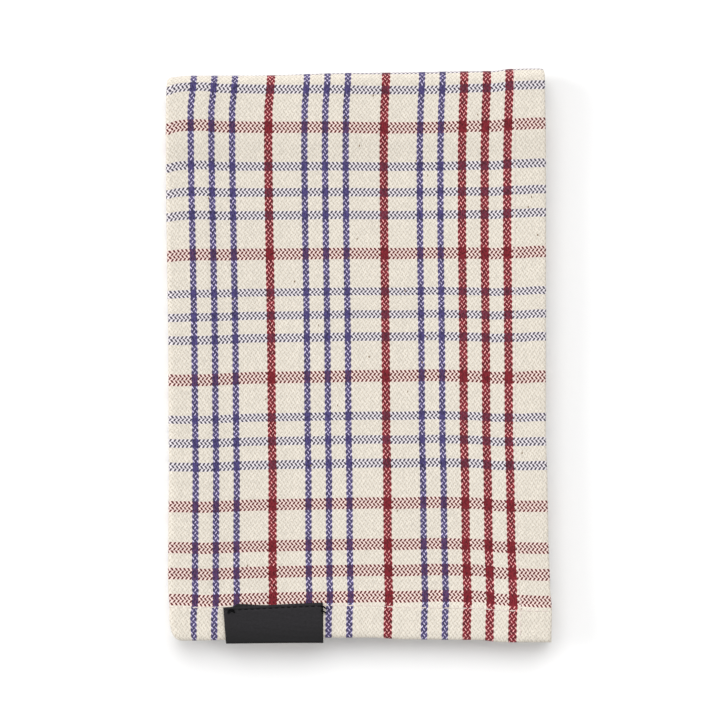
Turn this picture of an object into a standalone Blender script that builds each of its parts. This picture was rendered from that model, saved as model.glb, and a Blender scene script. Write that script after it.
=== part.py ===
"""A hemmed tea towel, folded in thirds along its length and in thirds across it, with a doubled tape label.

Metres, +Z up. The pack lies flat on Z = 0 with the origin under the middle of its box. +Y points at the big
outer fold, -Y at the end hem that lies uppermost, and +X at the side hem that lies uppermost.

The cloth starts as a flat slab and is folded as a maker folds it. Its own coordinates are u across the width,
v along the length and w through the thickness, with +w the side that the hems are turned to. Each fold takes
every point of the slab to a new place with one formula, so the nine layers stay one connected sheet.
"""

import math

import bpy
import numpy as np

MM = 0.001

# The cloth
CLOTH_WIDTH = 448 * MM
CLOTH_LENGTH = 660 * MM
CLOTH_THICK = 1.0 * MM
LAYER_GAP = 0.3 * MM
HEM_WIDTH = 12.3 * MM
HEM_RISE = 0.4 * MM  # how much thicker the turned hem is than the single cloth
HEM_SLOPE = 3.0 * MM  # the run over which layers climb on to a hidden hem

# The pack, before it settles
PACK_LEFT = -75.4 * MM
PACK_RIGHT = 75.4 * MM
PACK_BOTTOM = -112.4 * MM
PACK_TOP = 112.4 * MM
SIDE_FOLD_SETBACK = 1.0 * MM  # the inner side fold stays this far inside the side hem's edge
END_FOLD_SETBACK = 1.0 * MM  # the inner end fold stays this far inside the end hem's edge

# What a fold of one layer over another, and of one strip over another, works out at
PITCH = CLOTH_THICK + LAYER_GAP
HALF = CLOTH_THICK / 2
STRIP_THICK = 3 * CLOTH_THICK + 2 * LAYER_GAP
STRIP_PITCH = STRIP_THICK + LAYER_GAP
PACK_THICK = 3 * STRIP_THICK + 2 * LAYER_GAP

# Layer heights inside one strip, at the middle of the cloth
UNDER_AT = HALF
INNER_AT = HALF + PITCH
OUTER_AT = HALF + 2 * PITCH

# Side folds: the inner one joins the inner and under layers, the outer one the under and outer layers
INNER_SIDE_RADIUS = (INNER_AT - UNDER_AT) / 2
OUTER_SIDE_RADIUS = (OUTER_AT - UNDER_AT) / 2
INNER_SIDE_X = PACK_RIGHT - SIDE_FOLD_SETBACK - INNER_SIDE_RADIUS - HALF
OUTER_SIDE_X = PACK_LEFT + OUTER_SIDE_RADIUS + HALF

# End folds: the strip's own inner face turns at these radii
INNER_END_RADIUS = LAYER_GAP / 2
OUTER_END_RADIUS = (STRIP_PITCH + LAYER_GAP) / 2
INNER_END_Y = PACK_BOTTOM + END_FOLD_SETBACK + INNER_END_RADIUS + STRIP_THICK
OUTER_END_Y = PACK_TOP - OUTER_END_RADIUS - STRIP_THICK
INNER_END_Z = STRIP_THICK + INNER_END_RADIUS
OUTER_END_Z = STRIP_THICK + OUTER_END_RADIUS

# Lengths along the cloth, from the hidden side hem and from the hidden end hem
INNER_SIDE_ARC = math.pi * INNER_SIDE_RADIUS
OUTER_SIDE_ARC = math.pi * OUTER_SIDE_RADIUS
INNER_END_ARC = math.pi * (INNER_END_RADIUS + STRIP_THICK / 2)
OUTER_END_ARC = math.pi * (OUTER_END_RADIUS + STRIP_THICK / 2)
OUTER_PANEL = PACK_RIGHT - OUTER_SIDE_X
UNDER_PANEL = INNER_SIDE_X - OUTER_SIDE_X
INNER_PANEL = CLOTH_WIDTH - OUTER_PANEL - UNDER_PANEL - INNER_SIDE_ARC - OUTER_SIDE_ARC
TOP_STRIP = OUTER_END_Y - PACK_BOTTOM
BASE_STRIP = OUTER_END_Y - INNER_END_Y
MIDDLE_STRIP = CLOTH_LENGTH - TOP_STRIP - BASE_STRIP - INNER_END_ARC - OUTER_END_ARC
HIDDEN_SIDE_X = INNER_SIDE_X - INNER_PANEL
HIDDEN_END_Y = INNER_END_Y + MIDDLE_STRIP

# Where hems thicken the pack: the axis, the inner edge, which way the hem lies from it, and the layers
# that carry it, counted from the surface up
HEMS = (
    # axis, inner edge, side, layers
    (0, PACK_RIGHT - HEM_WIDTH, +1, (0, 5, 8)),
    (0, HIDDEN_SIDE_X + HEM_WIDTH, -1, (1, 4, 7)),
    (1, PACK_BOTTOM + HEM_WIDTH, -1, (6, 7, 8)),
    (1, HIDDEN_END_Y - HEM_WIDTH, +1, (3, 4, 5)),
)

# How the pack's outline runs, as offsets from the plain rectangle at places along each edge
LEFT_EDGE = (
    # y, moves right by
    (112 * MM, -0.5 * MM),
    (98 * MM, -0.8 * MM),
    (80 * MM, -0.8 * MM),
    (-10 * MM, 0.2 * MM),
    (-45 * MM, 0.4 * MM),
    (-68 * MM, 0.2 * MM),
    (-88 * MM, 0.0 * MM),
    (-102 * MM, 0.7 * MM),
)
RIGHT_EDGE = (
    # y, moves right by
    (112 * MM, -0.8 * MM),
    (75 * MM, -0.3 * MM),
    (-30 * MM, -0.3 * MM),
    (-52 * MM, 0.3 * MM),
    (-70 * MM, 0.6 * MM),
    (-90 * MM, 1.3 * MM),
    (-100 * MM, 2.0 * MM),
    (-110 * MM, 1.8 * MM),
)
TOP_EDGE = (
    # x, moves up by
    (-76 * MM, -0.8 * MM),
    (-66 * MM, -0.1 * MM),
    (-44 * MM, 0.0 * MM),
    (2 * MM, 1.1 * MM),
    (54 * MM, 1.8 * MM),
    (62 * MM, 2.6 * MM),
    (76 * MM, 2.7 * MM),
)
BOTTOM_EDGE = (
    # x, moves up by
    (-72 * MM, -0.2 * MM),
    (-10 * MM, 0.9 * MM),
    (5 * MM, 0.9 * MM),
    (18 * MM, 0.2 * MM),
    (46 * MM, 0.0 * MM),
    (57 * MM, -0.9 * MM),
)
CORNERS = (
    # x, y, drawn in by, over this length of the side, and over this width of the pack
    (PACK_LEFT, PACK_BOTTOM, 4.0 * MM, 9.5 * MM, 20 * MM),
    (PACK_LEFT, PACK_TOP, 0.6 * MM, 3 * MM, 10 * MM),
    (PACK_RIGHT, PACK_TOP, 0.8 * MM, 4 * MM, 10 * MM),
)

# How the pack sinks between its hems, and its slight waves
SAG = 0.5 * MM
WAVE = 0.15 * MM
WAVE_LONG = 96 * MM
WAVE_WIDE = 70 * MM
WAVE_START = 1.0  # radians

# The label: a doubled tape, folded a little off square, with its corners placed as on a squarely folded pack
TAPE_WIDTH = 38.7 * MM
TAPE_THICK = 0.5 * MM
TAPE_CORNERS = {
    # name: (x, y)
    "top_left": (-54.1 * MM, -99.8 * MM),
    "top_right": (-15.4 * MM, -98.6 * MM),
    "bottom_left": (-53.3 * MM, -114.1 * MM),
    "bottom_right": (-14.6 * MM, -114.4 * MM),
}

# How finely things are cut
PANEL_STEP = 36 * MM  # longest flat stretch with no line across it
SIDE_FOLD_STEPS = 6
INNER_END_STEPS = 7
OUTER_END_STEPS = 12
CORNER_LINES = (2.4 * MM, 1.0 * MM, 0.3 * MM, 0.0)  # distances from the end hem's edge
TAPE_COLUMNS = 4
TAPE_FOLD_STEPS = 6
TAPE_STEP = 1.5 * MM
CREASE_ANGLE = math.radians(40)

# Finishes: linear colour and roughness
ECRU_COTTON = ((0.79, 0.75, 0.65), 0.9)
BLACK_TAPE = ((0.012, 0.012, 0.014), 0.6)


def ease(share):
    """A smooth step from 0 to 1, level at both ends."""
    share = np.clip(share, 0, 1)
    return share * share * (3 - 2 * share)


def along(rows, place):
    """The offset at each place along an edge: eased from one row of its table to the next."""
    rows = sorted(rows)
    offset = np.full_like(place, rows[0][1])
    for (start, first), (end, second) in zip(rows, rows[1:]):
        offset += (second - first) * ease((place - start) / (end - start))
    return offset


def fold_in_thirds_lengthwise(u, w):
    """Folds the width into three layers, a spiral with +w always outermost.

    The inner layer runs right from the hidden side hem, turns down round the inner side fold, runs left
    underneath, turns up round the outer side fold and runs right again on top, to the other side hem.
    Returns x and the height inside the strip.
    """
    run = u - INNER_PANEL
    turn = np.clip(run / INNER_SIDE_ARC, 0, 1) * math.pi
    back = run - INNER_SIDE_ARC
    turn_back = np.clip((back - UNDER_PANEL) / OUTER_SIDE_ARC, 0, 1) * math.pi
    last = back - UNDER_PANEL - OUTER_SIDE_ARC
    inner = INNER_SIDE_RADIUS + w
    outer = OUTER_SIDE_RADIUS + w
    first_half = back < UNDER_PANEL / 2
    x = np.where(
        first_half,
        INNER_SIDE_X + np.minimum(run, 0) + inner * np.sin(turn) - np.maximum(back, 0),
        OUTER_SIDE_X + np.maximum(UNDER_PANEL - back, 0) - outer * np.sin(turn_back) + np.maximum(last, 0),
    )
    height = np.where(
        first_half,
        (INNER_AT + UNDER_AT) / 2 + inner * np.cos(turn),
        (OUTER_AT + UNDER_AT) / 2 - outer * np.cos(turn_back),
    )
    return x, height


def fold_in_thirds_crosswise(v, height):
    """Folds the three-layer strip into three along its length, again a spiral with its top face outermost.

    The middle strip runs down from the hidden end hem, turns under round the inner end fold, runs up as the
    base, turns over round the outer end fold and runs down on top, to the other end hem. Returns y and z.
    """
    run = v - MIDDLE_STRIP
    turn = np.clip(run / INNER_END_ARC, 0, 1) * math.pi
    back = run - INNER_END_ARC
    turn_back = np.clip((back - BASE_STRIP) / OUTER_END_ARC, 0, 1) * math.pi
    last = back - BASE_STRIP - OUTER_END_ARC
    inner = INNER_END_RADIUS + height
    outer = OUTER_END_RADIUS + height
    first_half = back < BASE_STRIP / 2
    y = np.where(
        first_half,
        INNER_END_Y - np.minimum(run, 0) - inner * np.sin(turn) + np.maximum(back, 0),
        OUTER_END_Y - np.maximum(BASE_STRIP - back, 0) + outer * np.sin(turn_back) - np.maximum(last, 0),
    )
    z = np.where(
        first_half,
        INNER_END_Z + inner * np.cos(turn),
        OUTER_END_Z - outer * np.cos(turn_back),
    )
    return y, z


def lift_over_hems(x, y, z):
    """How far each point is lifted by the hems at or below it: each hem thickens its own layers."""
    lift = np.zeros_like(z)
    for axis, edge, side, layers in HEMS:
        place = (x, y)[axis]
        share = np.clip(1 + side * (place - edge) / HEM_SLOPE, 0, 1)
        for layer in layers:
            through = np.clip((z - layer * PITCH) / CLOTH_THICK, 0, 1)
            lift += HEM_RISE * share * through
    return lift


def round_corners(x, y):
    """How far each point is drawn in from the side near a corner: a quarter ellipse, fading into the pack."""
    shift = np.zeros_like(x)
    for corner_x, corner_y, inward, length, width in CORNERS:
        near = np.clip(1 - abs(y - corner_y) / length, 0, 1)
        fade = np.clip(1 - abs(x - corner_x) / width, 0, 1)
        shift -= np.sign(corner_x) * inward * (1 - np.sqrt(1 - near**2)) * fade
    return shift


def settle(x, y, z):
    """Moves a squarely folded point to where it lies: edges run unevenly, and layers climb over the hems.

    Sideways moves blend from one edge's offset to the opposite one's. Heights stretch in proportion to z,
    so the underside stays flat and no layer reaches another.
    """
    across = (x - PACK_LEFT) / (PACK_RIGHT - PACK_LEFT)
    up = (y - PACK_BOTTOM) / (PACK_TOP - PACK_BOTTOM)
    sink = SAG * np.sin(math.pi * np.clip(across, 0, 1)) * np.sin(math.pi * np.clip(up, 0, 1))
    wave = WAVE * np.sin(2 * math.pi * x / WAVE_WIDE + WAVE_START) * np.sin(2 * math.pi * y / WAVE_LONG)
    lift = lift_over_hems(x, y, z) + (wave - sink) * z / PACK_THICK

    shift_x = along(LEFT_EDGE, y) * (1 - across) + along(RIGHT_EDGE, y) * across + round_corners(x, y)
    shift_y = along(BOTTOM_EDGE, x) * (1 - up) + along(TOP_EDGE, x) * up
    return x + shift_x, y + shift_y, z + lift


def lines_between(start, end, step):
    """Evenly spaced places from start to end, no further apart than step."""
    return list(np.linspace(start, end, math.ceil(abs(end - start) / step) + 1))


def stations(places, step):
    """Every place in order, with evenly spaced ones added between those that are far apart."""
    places = sorted(places)
    found = [places[0]]
    for start, end in zip(places, places[1:]):
        found += lines_between(start, end, step)[1:]
    return np.array(found)


def hem_lines(axis, low, high):
    """The places where layers start and finish climbing over the hems of one axis."""
    edges = [edge for at, edge, side, layers in HEMS if at == axis]
    starts = [edge - side * HEM_SLOPE for at, edge, side, layers in HEMS if at == axis]
    return [place for place in edges + starts if low < place < high]


def width_lines():
    """Lines along the cloth, at the same x in each of the three layers, and through both side folds."""
    marks = [OUTER_SIDE_X, INNER_SIDE_X] + hem_lines(0, OUTER_SIDE_X, INNER_SIDE_X)
    shared = stations(marks, PANEL_STEP)
    inner = [INNER_PANEL - (INNER_SIDE_X - x) for x in shared[1:] if x > HIDDEN_SIDE_X]
    inner_fold = np.linspace(0, INNER_SIDE_ARC, SIDE_FOLD_STEPS + 1)[1:] + INNER_PANEL
    under_start = INNER_PANEL + INNER_SIDE_ARC
    under = [under_start + INNER_SIDE_X - x for x in shared[::-1][1:]]
    outer_fold = np.linspace(0, OUTER_SIDE_ARC, SIDE_FOLD_STEPS + 1)[1:] + under_start + UNDER_PANEL
    outer_start = under_start + UNDER_PANEL + OUTER_SIDE_ARC
    outer = [outer_start + x - OUTER_SIDE_X for x in shared[1:]] + [CLOTH_WIDTH]
    return np.array([0.0, *inner, *inner_fold, *under, *outer_fold, *outer])


def length_lines():
    """Lines across the cloth, at the same y in each of the three strips, and through both end folds."""
    marks = [INNER_END_Y, OUTER_END_Y] + hem_lines(1, INNER_END_Y, OUTER_END_Y)
    shared = stations(marks, PANEL_STEP)
    middle = [MIDDLE_STRIP - (y - INNER_END_Y) for y in shared[::-1] if y < HIDDEN_END_Y]
    inner_fold = np.linspace(0, INNER_END_ARC, INNER_END_STEPS + 1)[1:] + MIDDLE_STRIP
    base_start = MIDDLE_STRIP + INNER_END_ARC
    base = [base_start + y - INNER_END_Y for y in shared[1:]]
    outer_fold = np.linspace(0, OUTER_END_ARC, OUTER_END_STEPS + 1)[1:] + base_start + BASE_STRIP
    top_start = base_start + BASE_STRIP + OUTER_END_ARC
    top = [top_start + OUTER_END_Y - y for y in shared[::-1][1:]]
    corner = [CLOTH_LENGTH - rise for rise in CORNER_LINES]
    return np.array([0.0, *middle, *inner_fold, *base, *outer_fold, *top, *corner])


def flat_slab(name, across, down, thick):
    """A flat sheet of cloth in its own (u, v, w), with lines at the given places, as a new object."""
    bpy.ops.mesh.primitive_grid_add(x_subdivisions=len(across) - 1, y_subdivisions=len(down) - 1)
    sheet = bpy.context.object
    places = np.empty((len(down), len(across), 3), np.float32)
    places[..., 0] = across[None, :]
    places[..., 1] = down[:, None]
    places[..., 2] = 0
    sheet.data.vertices.foreach_set("co", places.ravel())
    solidify = sheet.modifiers.new("Thickness", "SOLIDIFY")
    solidify.thickness = thick
    solidify.offset = 0
    bpy.context.view_layer.update()
    evaluated = sheet.evaluated_get(bpy.context.evaluated_depsgraph_get())
    slab = bpy.data.objects.new(name, bpy.data.meshes.new_from_object(evaluated))
    slab.data.name = name
    bpy.data.objects.remove(sheet)
    return slab


def points_of(slab):
    """The slab's points as three arrays."""
    points = np.empty(len(slab.data.vertices) * 3, np.float32)
    slab.data.vertices.foreach_get("co", points)
    return points.reshape(-1, 3).astype(float).T


def put_points(slab, x, y, z):
    """Moves the slab's points to new places."""
    slab.data.vertices.foreach_set("co", np.column_stack([x, y, z]).astype(np.float32).ravel())
    slab.data.update()


def towel_cloth():
    """The whole cloth with its hems: a flat slab, folded lengthwise, then crosswise, then settled."""
    cloth = flat_slab("towel", width_lines(), length_lines(), CLOTH_THICK)
    u, v, w = points_of(cloth)
    x, height = fold_in_thirds_lengthwise(u, w)
    y, z = fold_in_thirds_crosswise(v, height)
    put_points(cloth, *settle(x, y, z))
    cloth.data.flip_normals()  # v runs down the top strip, so folding mirrors the slab
    return cloth


def tape_label():
    """The doubled tape, lying on the end hem: its two ends at the top, its fold just past the hem's edge.

    The tape runs down, turns round a half circle with +w outermost and runs up again on top of itself. Each
    point then goes to its share of the way between the label's left and right sides.
    """
    fold_radius = (TAPE_THICK + LAYER_GAP) / 2
    height = TAPE_CORNERS["top_left"][1] - TAPE_CORNERS["bottom_left"][1]
    straight = height - fold_radius - TAPE_THICK / 2
    arc = math.pi * fold_radius
    flat = lines_between(0, straight, TAPE_STEP)
    bend = np.linspace(0, arc, TAPE_FOLD_STEPS + 1)[1:] + straight
    back = [straight + arc + place for place in flat[1:]]
    across = np.linspace(0, TAPE_WIDTH, TAPE_COLUMNS + 1)
    label = flat_slab("label", across, np.array([*flat, *bend, *back]), TAPE_THICK)
    u, run, w = points_of(label)

    turn = np.clip((run - straight) / arc, 0, 1) * math.pi
    down = np.minimum(run, straight) - np.maximum(run - straight - arc, 0)
    down += (fold_radius + w) * np.sin(turn)
    rise = fold_radius + TAPE_THICK / 2 - (fold_radius + w) * np.cos(turn)

    corners = {name: np.array(place)[:, None] for name, place in TAPE_CORNERS.items()}
    left = corners["top_left"] + (corners["bottom_left"] - corners["top_left"]) * down / height
    right = corners["top_right"] + (corners["bottom_right"] - corners["top_right"]) * down / height
    x, y = left + (right - left) * u / TAPE_WIDTH
    z = PACK_THICK + LAYER_GAP + rise
    put_points(label, *settle(x, y, z))
    return label


def centre_on_surface(pieces):
    """Moves every piece so that the origin is under the middle of the whole part's box, at its foot."""
    points = np.concatenate([np.array(points_of(piece)).T for piece in pieces])
    low = points.min(axis=0)
    high = points.max(axis=0)
    shift = np.array([(low[0] + high[0]) / 2, (low[1] + high[1]) / 2, low[2]])
    for piece in pieces:
        x, y, z = points_of(piece) - shift[:, None]
        put_points(piece, x, y, z)


def add_finish(piece, colour, roughness):
    """Gives a piece its own cloth material."""
    material = bpy.data.materials.new(piece.name + "_cloth")
    material.use_nodes = True
    shader = material.node_tree.nodes["Principled BSDF"]
    shader.inputs["Base Color"].default_value = (*colour, 1)
    shader.inputs["Roughness"].default_value = roughness
    shader.inputs["Metallic"].default_value = 0
    piece.data.materials.clear()
    piece.data.materials.append(material)


def shade(piece):
    """Shades the folds smooth and keeps the cut edges crisp."""
    piece.data.shade_smooth()
    piece.data.set_sharp_from_angle(angle=CREASE_ANGLE)


def main():
    for leftover in list(bpy.data.objects):
        bpy.data.objects.remove(leftover)
    towel = towel_cloth()
    label = tape_label()
    pieces = (towel, label)
    centre_on_surface(pieces)
    add_finish(towel, *ECRU_COTTON)
    add_finish(label, *BLACK_TAPE)
    collection = bpy.data.collections.new("tea towel")
    bpy.context.scene.collection.children.link(collection)
    for piece in pieces:
        shade(piece)
        collection.objects.link(piece)


main()
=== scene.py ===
"""A woven check tea towel, hemmed, folded in thirds both ways and laid flat, with a blank black tape label.

Metres, +Z up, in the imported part's frame: +Y points at the big outer fold, -Y at the end hem that lies
uppermost, +X at the side hem that lies uppermost.

The cloth is one closed sheet in its own coordinates: u across the width from the hidden side hem, v along
the length from the hidden end hem, and w through the thickness, with +w the face that ends up outside.
Folding is a formula that takes (u, v, w) to its place. Each point also carries its thread numbers, counted
from the two hems that lie uppermost, and the weave is drawn from those, so the checks follow the cloth
round every fold.
"""

import math
from functools import partial

import bpy
import numpy as np
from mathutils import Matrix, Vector


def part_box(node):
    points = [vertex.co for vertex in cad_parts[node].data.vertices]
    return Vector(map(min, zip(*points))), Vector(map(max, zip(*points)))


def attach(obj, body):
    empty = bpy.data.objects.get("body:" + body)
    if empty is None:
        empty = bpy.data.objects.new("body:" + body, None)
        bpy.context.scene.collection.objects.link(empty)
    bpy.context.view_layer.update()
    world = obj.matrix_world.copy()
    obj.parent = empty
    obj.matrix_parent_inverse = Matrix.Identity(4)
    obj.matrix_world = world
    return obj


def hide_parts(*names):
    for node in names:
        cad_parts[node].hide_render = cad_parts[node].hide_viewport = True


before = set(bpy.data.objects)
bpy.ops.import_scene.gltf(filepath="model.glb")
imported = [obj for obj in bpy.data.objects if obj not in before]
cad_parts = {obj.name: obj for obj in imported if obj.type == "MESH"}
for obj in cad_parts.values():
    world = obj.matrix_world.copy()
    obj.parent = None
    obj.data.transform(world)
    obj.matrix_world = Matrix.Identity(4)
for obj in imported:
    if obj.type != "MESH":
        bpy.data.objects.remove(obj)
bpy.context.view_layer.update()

MM = 0.001

# The cloth, and how it is folded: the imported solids' sizes and formulas. Closer to the real cloth than those
# are the wider slopes beside deep hems, the squarer big fold, the lower left corner's shorter fade, the
# face's rims, ridge, padding and seams, the end hem's lean, and the label's corners
CLOTH_WIDTH = 448 * MM
CLOTH_LENGTH = 660 * MM
CLOTH_THICK = 1.0 * MM
LAYER_GAP = 0.3 * MM
HEM_WIDTH = 12.3 * MM
HEM_RISE = 0.4 * MM
HEM_SLOPE = 3.0 * MM
HEM_BRIDGE = 2.4  # how much longer the slope beside a hem grows for each length that it lies deeper
PACK_LEFT = -75.4 * MM
PACK_RIGHT = 75.4 * MM
PACK_BOTTOM = -112.4 * MM
PACK_TOP = 112.4 * MM
SIDE_FOLD_SETBACK = 1.0 * MM
END_FOLD_SETBACK = 1.0 * MM

PITCH = CLOTH_THICK + LAYER_GAP
HALF = CLOTH_THICK / 2
STRIP_THICK = 3 * CLOTH_THICK + 2 * LAYER_GAP
STRIP_PITCH = STRIP_THICK + LAYER_GAP
PACK_THICK = 3 * STRIP_THICK + 2 * LAYER_GAP
UNDER_AT = HALF
INNER_AT = HALF + PITCH
OUTER_AT = HALF + 2 * PITCH
INNER_SIDE_RADIUS = (INNER_AT - UNDER_AT) / 2
OUTER_SIDE_RADIUS = (OUTER_AT - UNDER_AT) / 2
INNER_SIDE_X = PACK_RIGHT - SIDE_FOLD_SETBACK - INNER_SIDE_RADIUS - HALF
OUTER_SIDE_X = PACK_LEFT + OUTER_SIDE_RADIUS + HALF
INNER_END_RADIUS = LAYER_GAP / 2
OUTER_END_RADIUS = (STRIP_PITCH + LAYER_GAP) / 2
INNER_END_Y = PACK_BOTTOM + END_FOLD_SETBACK + INNER_END_RADIUS + STRIP_THICK
OUTER_END_Y = PACK_TOP - OUTER_END_RADIUS - STRIP_THICK
INNER_END_Z = STRIP_THICK + INNER_END_RADIUS
OUTER_END_Z = STRIP_THICK + OUTER_END_RADIUS

INNER_SIDE_ARC = math.pi * INNER_SIDE_RADIUS
OUTER_SIDE_ARC = math.pi * OUTER_SIDE_RADIUS
INNER_END_ARC = math.pi * (INNER_END_RADIUS + STRIP_THICK / 2)
OUTER_END_ARC = math.pi * (OUTER_END_RADIUS + STRIP_THICK / 2)
OUTER_PANEL = PACK_RIGHT - OUTER_SIDE_X
UNDER_PANEL = INNER_SIDE_X - OUTER_SIDE_X
INNER_PANEL = CLOTH_WIDTH - OUTER_PANEL - UNDER_PANEL - INNER_SIDE_ARC - OUTER_SIDE_ARC
TOP_STRIP = OUTER_END_Y - PACK_BOTTOM
BASE_STRIP = OUTER_END_Y - INNER_END_Y
MIDDLE_STRIP = CLOTH_LENGTH - TOP_STRIP - BASE_STRIP - INNER_END_ARC - OUTER_END_ARC
HIDDEN_SIDE_X = INNER_SIDE_X - INNER_PANEL
HIDDEN_END_Y = INNER_END_Y + MIDDLE_STRIP

HEMS = (
    # axis, inner edge, side, layers
    (0, PACK_RIGHT - HEM_WIDTH, +1, (0, 5, 8)),
    (0, HIDDEN_SIDE_X + HEM_WIDTH, -1, (1, 4, 7)),
    (1, PACK_BOTTOM + HEM_WIDTH, -1, (6, 7, 8)),
    (1, HIDDEN_END_Y - HEM_WIDTH, +1, (3, 4, 5)),
)
LEFT_EDGE = (
    # y, moves right by (mm)
    (112, -0.5),
    (98, -0.8),
    (80, -0.8),
    (-10, 0.2),
    (-45, 0.4),
    (-68, 0.2),
    (-88, 0.0),
    (-102, 0.7),
)
RIGHT_EDGE = (
    # y, moves right by (mm)
    (112, -0.8),
    (75, -0.3),
    (-30, -0.3),
    (-52, 0.3),
    (-70, 0.6),
    (-90, 1.3),
    (-100, 2.0),
    (-110, 1.8),
)
TOP_EDGE = (
    # x, moves up by (mm)
    (-76, -0.8),
    (-66, -0.1),
    (-44, 0.0),
    (2, 1.1),
    (54, 1.8),
    (62, 2.6),
    (76, 2.7),
)
BOTTOM_EDGE = (
    # x, moves up by (mm)
    (-72, -0.2),
    (-10, 0.9),
    (5, 0.9),
    (18, 0.2),
    (46, 0.0),
    (57, -0.9),
)
CORNERS = (
    # x, y, drawn in by, over this length of the side, and over this width of the pack
    (PACK_LEFT, PACK_BOTTOM, 4.0 * MM, 9.5 * MM, 11 * MM),
    (PACK_LEFT, PACK_TOP, 0.6 * MM, 3 * MM, 10 * MM),
    (PACK_RIGHT, PACK_TOP, 0.8 * MM, 4 * MM, 10 * MM),
)
FOLD_POWER = 3.2  # of the big fold's upper outline: 2 would be round, and more is squarer
SAG = 0.5 * MM
WAVE = 0.15 * MM
WAVE_LONG = 96 * MM
WAVE_WIDE = 70 * MM
WAVE_START = 1.0

# The sewn hem as it shows: a groove along the stitches and a slightly padded band outside them
SEAM_GROOVE = 0.06 * MM
SEAM_REACH = 0.9 * MM
SEAM_LEAN = 0.9 * MM  # how much wider the end hem is sewn at the left fold than at the side hem
HEM_PAD = 0.12 * MM
PAD_POWER = 0.7
SIDE_RIM = 0.8 * MM  # how far in from the cloth's sides its outer face is rounded
END_RIM = 2.3 * MM  # and from its ends
RIDGE = 0.2 * MM  # that the turned-in ply makes along the uppermost end
RIDGE_WIDTH = 5 * MM
RIDGE_POWER = 0.6

# The tape label: a doubled tape whose under ply lies a little turned and sticks out at its raw end
TAPE_WIDTH = 38.7 * MM
TAPE_THICK = 0.5 * MM
TAPE_CORNERS = {
    # corner: x, y before settling
    "top left": (-54.1 * MM, -99.3 * MM),
    "top right": (-15.4 * MM, -98.3 * MM),
    "bottom left": (-53.0 * MM, -113.8 * MM),
    "bottom right": (-14.6 * MM, -114.4 * MM),
}
TAPE_TURNED = 0.6 * MM
TAPE_FRAY = 1.0 * MM
FRAY_GROWS = (3 * MM, 5 * MM)  # from the tape's left edge
FRAY_SHRINKS = (5 * MM, 17 * MM)
TAPE_SEAM = 1.2 * MM  # from the tape's raw end
TAPE_SEAM_GROOVE = 0.2 * MM
TAPE_STEP_ACROSS = 0.8 * MM
TAPE_STEP_ALONG = 0.7 * MM
TAPE_FOLD_LINES = 13

# Sewing: a lockstitch in thick cotton along the hems, and in thin black polyester on the label
HEM_STITCH = 3.1 * MM
HEM_STITCH_PITCH = 3.2 * MM
HEM_THREAD = 0.62 * MM
HEM_ARCH = 0.2 * MM  # that the middle of a stitch stands above its ends
HEM_SUNK = 0.3 * MM  # that its ends lie below the cloth's face
HEM_ROW_END = 2 * MM  # that the row stops short of the cloth's edge
TAPE_STITCH = 1.6 * MM
TAPE_STITCH_PITCH = 2.4 * MM
TAPE_THREAD = 0.4 * MM
TAPE_ARCH = 0.14 * MM
TAPE_SUNK = 0.1 * MM
TAPE_ROW = (6.5 * MM, 0.5 * MM)  # from the label's left edge to the row, and from the row to its right edge
STRAND_SIDES = 6
STRAND_RINGS = 7
THREAD_END_RINGS = 46
KNOT_AT = (3.1 * MM, 1.6 * MM)  # from the label's left edge, and from its raw end
KNOT_SIZE = (2.6 * MM, 1.1 * MM)
THREAD_END = 0.58 * MM  # thicker than the thread in the row, since its plies come apart
LOOSE_ENDS = (
    # from and to: past the label's right edge, and from its raw end
    ((-0.4 * MM, 1.1 * MM), (1.9 * MM, 2.5 * MM)),
    ((-0.5 * MM, 2.8 * MM), (1.6 * MM, 3.9 * MM)),
)
TAIL_DROP = 0.9 * MM
TAIL_SLOPE = 0.8 * MM
TAIL_BOW = 0.25 * MM

# The weave: a 3/1 broken twill, so each pick shows for one end in four
END_PITCH = 0.4125 * MM
PICK_PITCH = 0.568 * MM
WARP_EDGE = (
    # colour, first end, how many: the stripes nearest the side hem
    ("red", 32, 8),
    ("red", 54, 8),
    ("red", 76, 8),
    ("blue", 98, 6),
    ("blue", 118, 6),
)
WARP_FROM = 152
WARP_REPEAT = 224
WARP_REPEATED = (
    # colour, first end within the repeat, how many
    ("red", 0, 8),
    ("blue", 38, 6),
    ("blue", 58, 6),
    ("blue", 78, 6),
    ("red", 112, 8),
    ("blue", 148, 6),
    ("blue", 168, 6),
    ("blue", 188, 6),
)
WARP_MIDDLE = 549
WEFT_EDGE = (
    # colour, first pick, how many: the stripes nearest the end hem
    ("red", 24, 8),
    ("red", 42, 8),
    ("red", 60, 8),
)
WEFT_FROM = 90
WEFT_REPEAT = 88
WEFT_REPEATED = (
    # colour, first pick within the repeat, how many
    ("red", 0, 8),
    ("blue", 28, 6),
    ("blue", 44, 6),
    ("blue", 62, 6),
)
WEFT_MIDDLE = 577

# How far the threads lie from their even places on the pack (mm)
WARP_DRIFT = (
    # height on the pack, how far right the ends lie at the left fold, and at the side hem
    (110, 1.7, 0.7),
    (103, 1.1, 0.6),
    (99, 0.7, 0.3),
    (82, 0.8, -0.6),
    (48, 1.2, -0.8),
    (-2, 1.4, -0.3),
    (-52, 1.6, -0.1),
    (-93, 1.6, -0.1),
    (-98, 1.0, -0.4),
    (-102, 0.3, -0.7),
)
WEFT_DRIFT = (
    # place across the pack, how far up the picks lie at the end hem, in the middle and at the big fold
    (-74, 0.0, 0.0, 0.2),
    (-72, 0.0, -0.3, 1.0),
    (-70, 0.0, -0.4, 1.2),
    (-61, -0.6, -0.4, 1.4),
    (-53, -0.4, -0.1, 0.5),
    (-42, -0.3, 0.3, 0.3),
    (-16, -0.3, 0.0, -0.4),
    (4, 0.0, 0.2, -1.1),
    (30, 1.0, 0.7, -1.4),
    (47, 0.9, 0.1, -1.0),
    (66, -0.1, -0.2, -0.8),
    (71, -0.4, 0.3, -0.6),
)
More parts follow.
